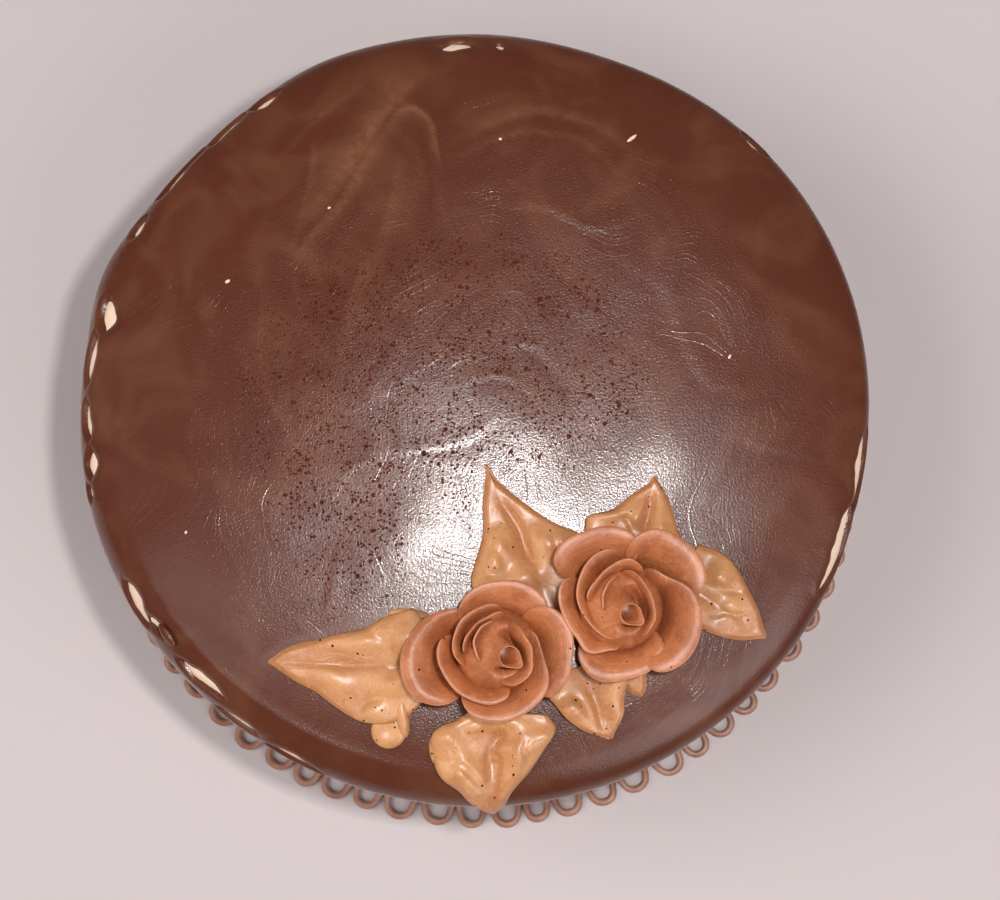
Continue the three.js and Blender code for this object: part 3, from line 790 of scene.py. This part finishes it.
def bud_shape(rose):
    """The bud's rolled ring and the cone under it, which the petals lean on."""
    profile = (
        (0, -3.0), (1.4, -3.0), (2.05, -2.8), (2.3, -1.6), (2.42, -0.5), (2.6, -0.08), (2.8, 0),
        (3.0, -0.1), (3.2, -0.5), (3.5, -1.3), (4.4, -2.4), (5.8, -3.3), (7.4, -4.4), (8.8, -5.8),
        (10, -7.8), (11, -10.4), (11.8, -14), (12.2, -18), (12.4, -21.2), (0, -21.2),
    )
    bm = turned([(radius, height) for radius, height in profile], 72)
    uv_layer = bm.loops.layers.uv.new("UVMap")
    for face in bm.faces:
        for loop in face.loops:
            x, y, z = loop.vert.co
            radius = math.hypot(x, y)
            # Painted shade inside the ring's hollow, and a painted highlight on its crest.
            painted_shade = 0.0 if radius < 2.4 else 0.68
            crest = math.exp(-((radius - 2.75) / 0.3) ** 2) * (z > -1.5)
            loop[uv_layer].uv = (math.atan2(y, x), painted_shade + (1 - painted_shade) * crest)
    for corner in bm.verts:
        x, y, z = corner.co
        radius, angle = math.hypot(x, y), math.degrees(math.atan2(y, x))
        near_ring = math.exp(-((radius - 2.8) / 1.1) ** 2)
        tip = math.exp(-((angle_between(angle, rose["tip"])) / 26) ** 2)
        stretch = 1 + 0.45 * tip * near_ring
        open_side = 0.5 + 0.5 * math.cos(math.radians(angle_between(angle, -5)))
        if radius > 3.2:
            z -= 14.0 * open_side ** 2 * math.exp(-((radius - 4.7) / 1.05) ** 2)
        sink = min(max(-z / 6.0, 0), 1)
        middle_x = rose["top"][0] + (rose["core"][0] - rose["top"][0]) * sink
        middle_y = rose["top"][1] + (rose["core"][1] - rose["top"][1]) * sink
        if radius < 2.5:
            middle_x -= 0.9 * min(-z / 3, 1)
            middle_y += 0.7 * min(-z / 3, 1)
        z -= 0.25 * math.sin(math.radians(angle) + 0.6) * near_ring
        corner.co = (
            (middle_x + x * stretch) * MM,
            (middle_y + y * stretch) * MM,
            TOP_HEIGHT - BUD_SINK + (BUD_HEIGHT + z) * MM,
        )
    return bm


SPECK_SHADE = (0.05, 0.012, 0.005, 1)


def cream_finish(name, deep_and_shade, face, rim, roughness, gloss, specks):
    """Piped cream: deeper in the folds as painted shade, paler along the edge of the rim as a painted
    highlight, finely streaked, with dark specks.
    """
    material, tree, shader, where = new_finish(name, roughness)
    uv = add_node(tree, "UVMap", {}).outputs[0]
    across = add_node(tree, "SeparateXYZ", {0: uv}).outputs[1]
    stretched = add_node(tree, "Mapping", {"Vector": uv, "Scale": (3, 20, 1)}).outputs[0]
    streaks = grain(tree, stretched, 2.0, 4, 0.4)
    clouds = grain(tree, where, 150, 2)
    mottle = grain(tree, where, 900, 2, 1.0)
    # Painted shade: towards the foot of each petal, in the bud's hollow and in the low places of a leaf
    # the colour deepens.
    colour = mixed(tree, ranged(tree, across, 0.2, 0.62), deep_and_shade, face)
    # Streaks, clouds and mottle shift the colour paler and darker at random.
    colour = mixed(tree, ranged(tree, streaks, 0.5, 0.75, 0.0, 0.6), colour, rim)
    colour = mixed(tree, ranged(tree, streaks, 0.5, 0.25, 0.0, 0.6), colour, deep_and_shade)
    colour = mixed(tree, ranged(tree, clouds, 0.42, 0.68, 0.0, 0.6), colour, deep_and_shade)
    colour = mixed(tree, ranged(tree, mottle, 0.5, 0.75, 0.0, 0.4), colour, rim)
    # Painted highlight: a pale line along the very edge of each petal's rim and the bud's crest.
    colour = mixed(tree, ranged(tree, across, 0.965, 1.0, 0.0, 0.9), colour, rim)
    speck_cells = add_node(tree, "TexVoronoi", {"Vector": where, "Scale": 1 / (1.7 * MM)})
    chance = add_node(tree, "SeparateColor", {0: speck_cells.outputs["Color"]}).outputs[0]
    wander = add_node(tree, "MapRange", {0: chance, 1: specks, 2: 1.0}).outputs[0]
    size = reckon(tree, "MULTIPLY", reckon(tree, "POWER", wander, 1.6), 0.27)
    speck = ranged(tree, reckon(tree, "SUBTRACT", size, speck_cells.outputs["Distance"]), 0, 0.05)
    colour = mixed(tree, speck, colour, SPECK_SHADE)
    tree.links.new(ranged(tree, speck, 0, 1, gloss, 0.05), shader.inputs["Specular IOR Level"])
    tree.links.new(colour, shader.inputs["Base Color"])
    soft = {"Strength": 0.55, "Distance": 0.2 * MM, "Height": grain(tree, where, 420, 3)}
    bump = add_node(tree, "Bump", soft)
    lines = {"Strength": 0.3, "Distance": 0.1 * MM, "Height": streaks, "Normal": bump.outputs[0]}
    bump = add_node(tree, "Bump", lines)
    tree.links.new(bump.outputs[0], shader.inputs["Normal"])
    return material


ROSE_DEEP_AND_SHADE = (0.29, 0.074, 0.023, 1)
ROSE_FACE = (0.49, 0.157, 0.056, 1)
ROSE_PALE_AND_SHEEN = (0.62, 0.262, 0.138, 1)
rose_cream = cream_finish("rose_cream", ROSE_DEEP_AND_SHADE, ROSE_FACE, ROSE_PALE_AND_SHEEN, 0.38, 0.5, 0.86)

for rose in ROSES:
    bud_node = rose["node"] + "_bud"
    bud = new_piece(bud_shape(rose), rose["name"] + "_rose_bud", rose_cream, bud_node)
    bud_smoothing = bud.modifiers.new("rounding", "SUBSURF")
    bud_smoothing.levels = 1
    bud_smoothing.render_levels = 1
    for number, petal in enumerate(rose["petals"], start=1):
        columns = max(12, round(abs(petal[1] - petal[0]) / 4))
        band = grid_sheet(columns, 16, petal_surface(rose, petal, number))
        name = f"{rose['name']}_rose_petal_{number}"
        piece = new_piece(band, name, rose_cream, f"{rose['node']}_petal_{number}")
        thicken(piece, PETAL_THICKNESS, 0)

# ------------------------------------------------------------ leaves
# Seven leaves of lighter cream, piped with a notched tip pressed down at the root and drawn
# away, so each has a spine, ruffled sides and a pulled point. They lie on the glaze.

LEAF_THICKNESS = 2.2 * MM
LEAF_TOP = 2.1 * MM
LEAF_EDGE_DROP = 1.2

# Root and tip on the cake in millimetres, half widths to the left and right of the line between
# them at even steps, the lift of the edges, and swellings: (share, across, length, width, height).
# A fold is a line on the cake in millimetres, its width and how deep it is
LEAVES = (
    {
        "name": "left_leaf", "node": "leaf_left", "root": (-13, -71.5), "tip": (-57.3, -69.4), "lift": 1.4,
        "left": (8.5, 13, 15.4, 16.0, 15.6, 13.6, 10.7, 7.6, 5.6, 2.9, 0.2),
        "right": (12, 16.2, 15.4, 13.9, 10.8, 9.4, 8.2, 6.7, 5.6, 3.6, 0.1),
        "swells": (
            (0.16, 0.28, 0.16, 0.3, 3.2), (0.14, -0.5, 0.15, 0.34, 3.2), (0.6, 0.35, 0.3, 0.3, 0.9),
            (0.42, -0.6, 0.14, 0.25, 1.3), (0.3, 0.8, 0.1, 0.2, 1.4), (0.5, 0.0, 0.4, 0.08, -0.4),
        ),
        "folds": (
            (((-24, -74), (-20, -70), (-17, -68)), 1.3, 1.4),
            (((-33, -84), (-29, -80), (-25, -79)), 1.1, 1.2),
            (((-31, -60), (-26, -63), (-22, -62)), 1.0, 1.0),
        ),
    },
    {
        "name": "back_leaf", "node": "leaf_back", "root": (21.8, -57.3), "tip": (2.6, -15.3), "lift": 1.2,
        "left": (10, 15.5, 17.9, 18.2, 17.5, 14.2, 9.8, 7.3, 5.3, 2.4, 0.2),
        "right": (9, 14.5, 15.8, 15.8, 15.8, 11.3, 8, 5.3, 2.9, 0.9, 0.3),
        "swells": (
            (0.47, 0.5, 0.12, 0.26, 3.2), (0.32, 0.75, 0.07, 0.22, 2.4), (0.4, -0.45, 0.1, 0.3, 2.6),
            (0.28, 0.15, 0.07, 0.3, 2.2), (0.24, -0.7, 0.08, 0.2, 2.4), (0.45, 0.0, 0.2, 0.14, -0.4),
        ),
        "folds": (
            (((7, -26), (12, -33), (14, -39), (17, -45)), 1.3, 1.3),
            (((3, -37), (7, -41), (9, -46)), 1.1, 1.3),
            (((1, -44), (4, -46), (8, -45)), 0.9, 1.0),
            (((20, -34), (22, -38), (21, -43)), 1.0, 1.0),
        ),
    },
    {
        "name": "back_right_leaf", "node": "leaf_back_right", "root": (42.5, -43), "tip": (49.2, -18.3),
        "lift": 1.2,
        "left": (14, 14.6, 15, 15.4, 15.2, 10.2, 7.6, 5.8, 3.6, 1.2, 0.4),
        "right": (13, 13.4, 13.6, 13.2, 12.2, 10.4, 8.8, 7.2, 5.4, 3.0, 0.4),
        "swells": (
            (0.5, 0.62, 0.12, 0.2, 2.2), (0.55, 0.2, 0.2, 0.2, 1.8), (0.5, -0.45, 0.25, 0.25, 2.0),
        ),
        "folds": (
            (((48, -24), (47.5, -29), (46, -34)), 1.2, 1.3),
            (((39, -29), (42, -31), (43, -35)), 1.0, 1.1),
        ),
    },
    {
        "name": "right_leaf", "node": "leaf_right", "root": (55, -47), "tip": (80.2, -62.8), "lift": 1.4,
        "left": (12, 13.2, 12.2, 8.9, 5, 0.4), "right": (7, 8, 8.2, 7.1, 4.7, 0.4),
        "swells": (
            (0.34, 0.5, 0.12, 0.3, 2.2), (0.58, 0.1, 0.09, 0.5, 2.0), (0.3, -0.5, 0.14, 0.3, 1.4),
            (0.8, 0.2, 0.1, 0.4, 0.9),
        ),
        "folds": (
            (((63, -48), (68, -49.5), (73, -50.5)), 1.1, 0.9),
            (((64, -57), (69, -56), (74, -57)), 1.1, 0.7),
        ),
    },
    {
        "name": "front_right_leaf", "node": "leaf_front_right", "root": (29.5, -70), "tip": (37, -90.6),
        "lift": 4.4,
        "left": (12.5, 12.4, 9.6, 7.2, 4.7, 0.4), "right": (12, 12.8, 11.4, 9.6, 6.2, 0.4),
        "swells": (
            (0.5, -0.55, 0.2, 0.3, 2.0), (0.5, 0.5, 0.22, 0.25, 1.8), (0.8, -0.05, 0.14, 0.1, 0.6),
            (0.3, 0.8, 0.12, 0.2, 1.0),
        ),
        "folds": (
            (((31, -77), (33, -82), (34.5, -87)), 1.1, 0.8),
            (((26, -78), (29, -81), (31, -85)), 1.0, 1.0),
        ),
    },
    {
        "name": "leaf_end", "node": "leaf_scrap", "root": (42, -70), "tip": (45.2, -79), "lift": 1,
        "left": (3, 3.4, 3.4, 3, 2.2, 0.4), "right": (4, 4.4, 4.4, 3.6, 2.4, 0.4),
        "swells": ((0.5, 0, 0.4, 0.6, 1.4),),
    },
    {
        "name": "front_leaf", "node": "leaf_front", "root": (7, -83), "tip": (5, -111.3), "lift": 1.6,
        "left": (13, 15.4, 14.9, 13.3, 11.7, 10, 8.1, 5.7, 3.9, 2.9, 1.2),
        "right": (9, 12, 17.6, 19.4, 18.9, 18.1, 17.3, 15, 10.6, 7.4, 1.8),
        "swells": (
            (0.40, 0.48, 0.24, 0.3, 3.8), (0.3, -0.74, 0.14, 0.2, 3.0), (0.6, -0.5, 0.18, 0.26, 3.0),
            (0.1, -0.1, 0.1, 0.5, 2.2), (0.75, 0.35, 0.16, 0.4, 1.4), (0.55, -0.04, 0.3, 0.16, -1.4),
            (0.2, 0.85, 0.1, 0.2, 1.6), (0.35, 0.05, 0.07, 0.2, 1.2),
        ),
        "folds": (
            (((8, -88), (5.5, -91), (3.7, -95), (3.4, -103)), 1.2, 1.6),
            (((-5, -97), (-1.8, -99.4), (2.1, -103.6)), 1.0, 1.3),
            (((-8, -91), (-6, -95), (-7, -99)), 1.0, 1.1),
            (((14, -90), (13, -94), (15, -97)), 0.9, 0.9),
        ),
    },
)


def leaf_surface(leaf):
    """The top of one leaf: s runs from root to tip and t across, from its right side to its left."""
    root, tip = np.array(leaf["root"], float), np.array(leaf["tip"], float)
    length = np.linalg.norm(tip - root)
    forward = (tip - root) / length

    def form(s, t):
        across = 2 * t - 1
        width = np.where(across > 0, along(leaf["left"], s), along(leaf["right"], s))
        x = (root[0] + forward[0] * length * s - forward[1] * width * across) * MM
        y = (root[1] + forward[1] * length * s + forward[0] * width * across) * MM
        ruffle = 0.5 + 0.5 * np.cos(s * 14 + across * 1.5)
        rise = leaf["lift"] * np.maximum(1 - s, 0) ** 0.8 * across ** 2 * (0.4 + 0.7 * ruffle)
        groove = np.exp(-(across * width / 1.3) ** 2) * np.maximum(1 - s, 0) ** 0.3
        rise -= 0.35 * groove * np.minimum(width / 8, 1)
        for line, wide, depth in leaf.get("folds", ()):
            away, _, fade = distance_to(x, y, line)
            rise -= depth * fade * np.exp(-(away / (wide * MM)) ** 2)
        for share, side, long, wide, height in leaf["swells"]:
            swell = height * np.exp(-((s - share) / long) ** 2 - ((across - side) / wide) ** 2)
            rise += swell * np.minimum(width / 11, 1) ** 1.5
        ripples = 0.16 * np.sin(x / (1.7 * MM) + 1.3 * np.sin(y / (2.9 * MM)))
        ripples += 0.14 * np.sin(y / (1.5 * MM) + 1.1 * np.sin(x / (3.3 * MM)))
        rise += ripples * np.maximum(1 - s, 0) ** 0.4
        inward = (1 - np.abs(across)) * width
        rise -= LEAF_EDGE_DROP * np.exp(-(inward / 1.1) ** 2)
        return x, y, rise

    def surface(s, t):
        x, y, rise = form(s, t)
        return on_glaze(x, y, LEAF_TOP + rise * MM)

    # Painted shade: the level follows the leaf's rise, so folds, valleys and the dropped edges come out
    # darker.
    def painted_shade(s, t):
        return 0.15 + 0.72 * smooth_step(-1.0, 2.6, form(s, t)[2])

    return surface, painted_shade


LEAF_DEEP_AND_SHADE = (0.46, 0.175, 0.062, 1)
LEAF_FACE = (0.62, 0.285, 0.114, 1)
LEAF_PALE = (0.74, 0.395, 0.198, 1)
leaf_cream = cream_finish("leaf_cream", LEAF_DEEP_AND_SHADE, LEAF_FACE, LEAF_PALE, 0.36, 0.8, 0.45)

for leaf in LEAVES:
    blade = grid_sheet(44, 30, *leaf_surface(leaf))
    piece = new_piece(blade, leaf["name"], leaf_cream, leaf["node"])
    thicken(piece, LEAF_THICKNESS, -1)

# Curled edges of the left and the front leaf: place, half sizes in millimetres, turn in degrees,
# height over the glaze and how deep the curl is dished
LEAF_CURLS = (
    ("left_leaf_scroll", (-23.9, -88.2), (4.9, 4.9), 10, 2.0, 0.9),
    ("left_leaf_scroll_side", (-20.2, -83.6), (2.0, 6.6), 8, 3.4, 0.0),
    ("left_leaf_back_curl", (-18.4, -56.8), (5.8, 1.9), -6, 1.7, 0.0),
    ("front_leaf_side_curl", (-11.4, -93.6), (1.5, 4.0), 8, 2.2, 0.0),
    ("front_leaf_root_curl", (-1.0, -87.0), (6.4, 2.8), 20, 3.6, 0.0),
)
LUMP_BASE = 0.15


def lump(place, halves, turn, height, dish=0.0):
    """A low rounded lump lying on the glaze, hollowed in its middle by `dish`."""
    bm = bmesh.new()
    bmesh.ops.create_uvsphere(bm, u_segments=40, v_segments=24, radius=1)
    round_points = np.array([corner.co[:] for corner in bm.verts])
    away = np.hypot(round_points[:, 0], round_points[:, 1])
    turn = math.radians(turn)
    wide, deep = round_points[:, 0] * halves[0], round_points[:, 1] * halves[1]
    x = (place[0] + wide * math.cos(turn) - deep * math.sin(turn)) * MM
    y = (place[1] + wide * math.sin(turn) + deep * math.cos(turn)) * MM
    rise = height * np.maximum(round_points[:, 2], 0) ** 0.8
    bowl = dish * np.exp(-(away / 0.5) ** 2) * (round_points[:, 2] > 0)
    for corner, spot in zip(bm.verts, on_glaze(x, y, (LUMP_BASE + rise - bowl) * MM)):
        corner.co = spot
    uv_layer = bm.loops.layers.uv.new("UVMap")
    for face in bm.faces:
        for loop in face.loops:
            loop[uv_layer].uv = (0.5, 0.6)
    bmesh.ops.recalc_face_normals(bm, faces=bm.faces[:])
    return bm


for name, place, halves, turn, height, dish in LEAF_CURLS:
    new_piece(lump(place, halves, turn, height, dish), name, leaf_cream, None)


def mark_halo_round_leaves():
    """Stores how near each point of the glaze lies to the outline of a leaf, where the glaze is rougher,
    has fewer pits and carries a painted sheen.
    """
    shares = np.linspace(0, 1, 60)
    outline = [leaf_surface(leaf)[0](shares, np.full(60, side)) for leaf in LEAVES for side in (0, 1)]
    outline = np.concatenate(outline)[:, :2]
    places = points_of(glaze.data)
    x, y, z = places.T
    near = (z > WALL_TOP) & (y < -5 * MM) & (x > -70 * MM) & (x < 50 * MM)
    gap = np.full(len(places), 1.0)
    off_x = x[near][:, None] - outline[:, 0]
    off_y = y[near][:, None] - outline[:, 1]
    gap[near] = np.sqrt(np.min(off_x ** 2 + off_y ** 2, axis=1))
    behind = smooth_step(-75 * MM, -66 * MM, y) * smooth_step(48 * MM, 38 * MM, x)
    share_attribute(glaze.data, "dried_rim", smooth_step(3.0 * MM, 1.0 * MM, gap) * behind)
    pitted = np.empty(len(places), np.float32)
    glaze.data.attributes["pitted"].data.foreach_get("value", pitted)
    pitted *= smooth_step(1.2 * MM, 4.0 * MM, gap)
    glaze.data.attributes["pitted"].data.foreach_set("value", pitted)


mark_halo_round_leaves()

# ------------------------------------------------------------ flecks and a curl of glaze
# A few crumbs of the pale coat caught in the glaze, and one place at the left where the knife
# dragged the setting glaze into a small curl. Each is given as its place and half sizes in
# millimetres and its turn in degrees, and the curl by its height too.

COAT_FLECKS = (
    ((-69.3, 36.2), (0.8, 0.5), 30),
    ((43.6, 77.6), (1.7, 0.5), 38),
    ((6.6, 77.0), (0.5, 0.4), 0),
    ((70.3, 15.2), (0.7, 0.4), 60),
    ((-41.2, 57.0), (0.5, 0.35), 20),
    ((-79.8, -34.0), (0.5, 0.4), 75),
)

FLECK_HEIGHT = 0.4
GLAZE_CURL = ((-85.6, -62.4), (3.8, 1.3), -56, 1.0)

fleck_finish = coat_finish()
for number, fleck in enumerate(COAT_FLECKS, start=1):
    crumb = lump(*fleck, FLECK_HEIGHT)
    new_piece(crumb, f"coat_fleck_{number}", fleck_finish, None)

new_piece(lump(*GLAZE_CURL), "glaze_curl", glaze.data.materials[0], None)

# ------------------------------------------------------------ floor and light
# A plain pale floor. One lamp above and to the right gives the shadows and another, close to it,
# the bright patch on the glaze. Two wide fills light all round, and two soft lamps towards the
# front show only as a sheen near the edge of the glaze.

FLOOR_COLOUR = (0.607, 0.533, 0.532, 1)
LAMP_POWER = 3.0
LAMP_SIZE = 0.05
SHADE_LAMP_PLACE = (0.118, -0.040, 0.80)
SHINE_LAMP_PLACE = (0.075, -0.035, 0.80)
FILL_SIZE = 1.2
RIGHT_FILL_PLACE = (0.95, -0.85, 1.00)
RIGHT_FILL_POWER = 9.1
LEFT_FILL_PLACE = (-1.05, -0.10, 1.10)
LEFT_FILL_POWER = 14.3
LEFT_SHEEN_PLACE = (-0.44, -0.26, 1.07)
LEFT_SHEEN_SIZE = 0.45
LEFT_SHEEN_POWER = 0.75
RIGHT_SHEEN_PLACE = (0.72, -0.70, 1.00)
RIGHT_SHEEN_SIZE = 0.9
RIGHT_SHEEN_POWER = 5.6
ROOM_COLOUR = (1, 0.98, 0.97, 1)
ROOM_LIGHT = 0.16

floor_mesh = bmesh.new()
bmesh.ops.create_grid(floor_mesh, x_segments=2, y_segments=2, size=3)
floor_data = bpy.data.meshes.new("floor")
floor_mesh.to_mesh(floor_data)
floor_mesh.free()
floor = bpy.data.objects.new("floor", floor_data)
floor.location = (0, 0, -0.02 * MM)
bpy.context.collection.objects.link(floor)
floor_material, floor_tree, floor_shader, _ = new_finish("plain_floor", 0.9)
floor_shader.inputs["Base Color"].default_value = FLOOR_COLOUR
floor_shader.inputs["Specular IOR Level"].default_value = 0.1
floor_data.materials.append(floor_material)


def hang_lamp(name, place, size, power):
    """A square lamp turned towards the middle of the cake."""
    lamp_data = bpy.data.lights.new(name, "AREA")
    lamp_data.size = size
    lamp_data.energy = power
    lamp = bpy.data.objects.new(name, lamp_data)
    lamp.location = place
    lamp.rotation_euler = Vector(place).to_track_quat("Z", "Y").to_euler()
    bpy.context.collection.objects.link(lamp)
    return lamp


hang_lamp("shade_lamp", SHADE_LAMP_PLACE, LAMP_SIZE, LAMP_POWER).visible_glossy = False
hang_lamp("shine_lamp", SHINE_LAMP_PLACE, LAMP_SIZE, LAMP_POWER).visible_diffuse = False
hang_lamp("right_fill", RIGHT_FILL_PLACE, FILL_SIZE, RIGHT_FILL_POWER).visible_glossy = False
hang_lamp("left_fill", LEFT_FILL_PLACE, FILL_SIZE, LEFT_FILL_POWER).visible_glossy = False
hang_lamp("left_sheen", LEFT_SHEEN_PLACE, LEFT_SHEEN_SIZE, LEFT_SHEEN_POWER).visible_diffuse = False
hang_lamp("right_sheen", RIGHT_SHEEN_PLACE, RIGHT_SHEEN_SIZE, RIGHT_SHEEN_POWER).visible_diffuse = False

world = bpy.data.worlds.new("soft_room")
world.use_nodes = True
world.node_tree.nodes["Background"].inputs["Color"].default_value = ROOM_COLOUR
world.node_tree.nodes["Background"].inputs["Strength"].default_value = ROOM_LIGHT
bpy.context.scene.world = world
bpy.context.scene.view_settings.view_transform = "Standard"
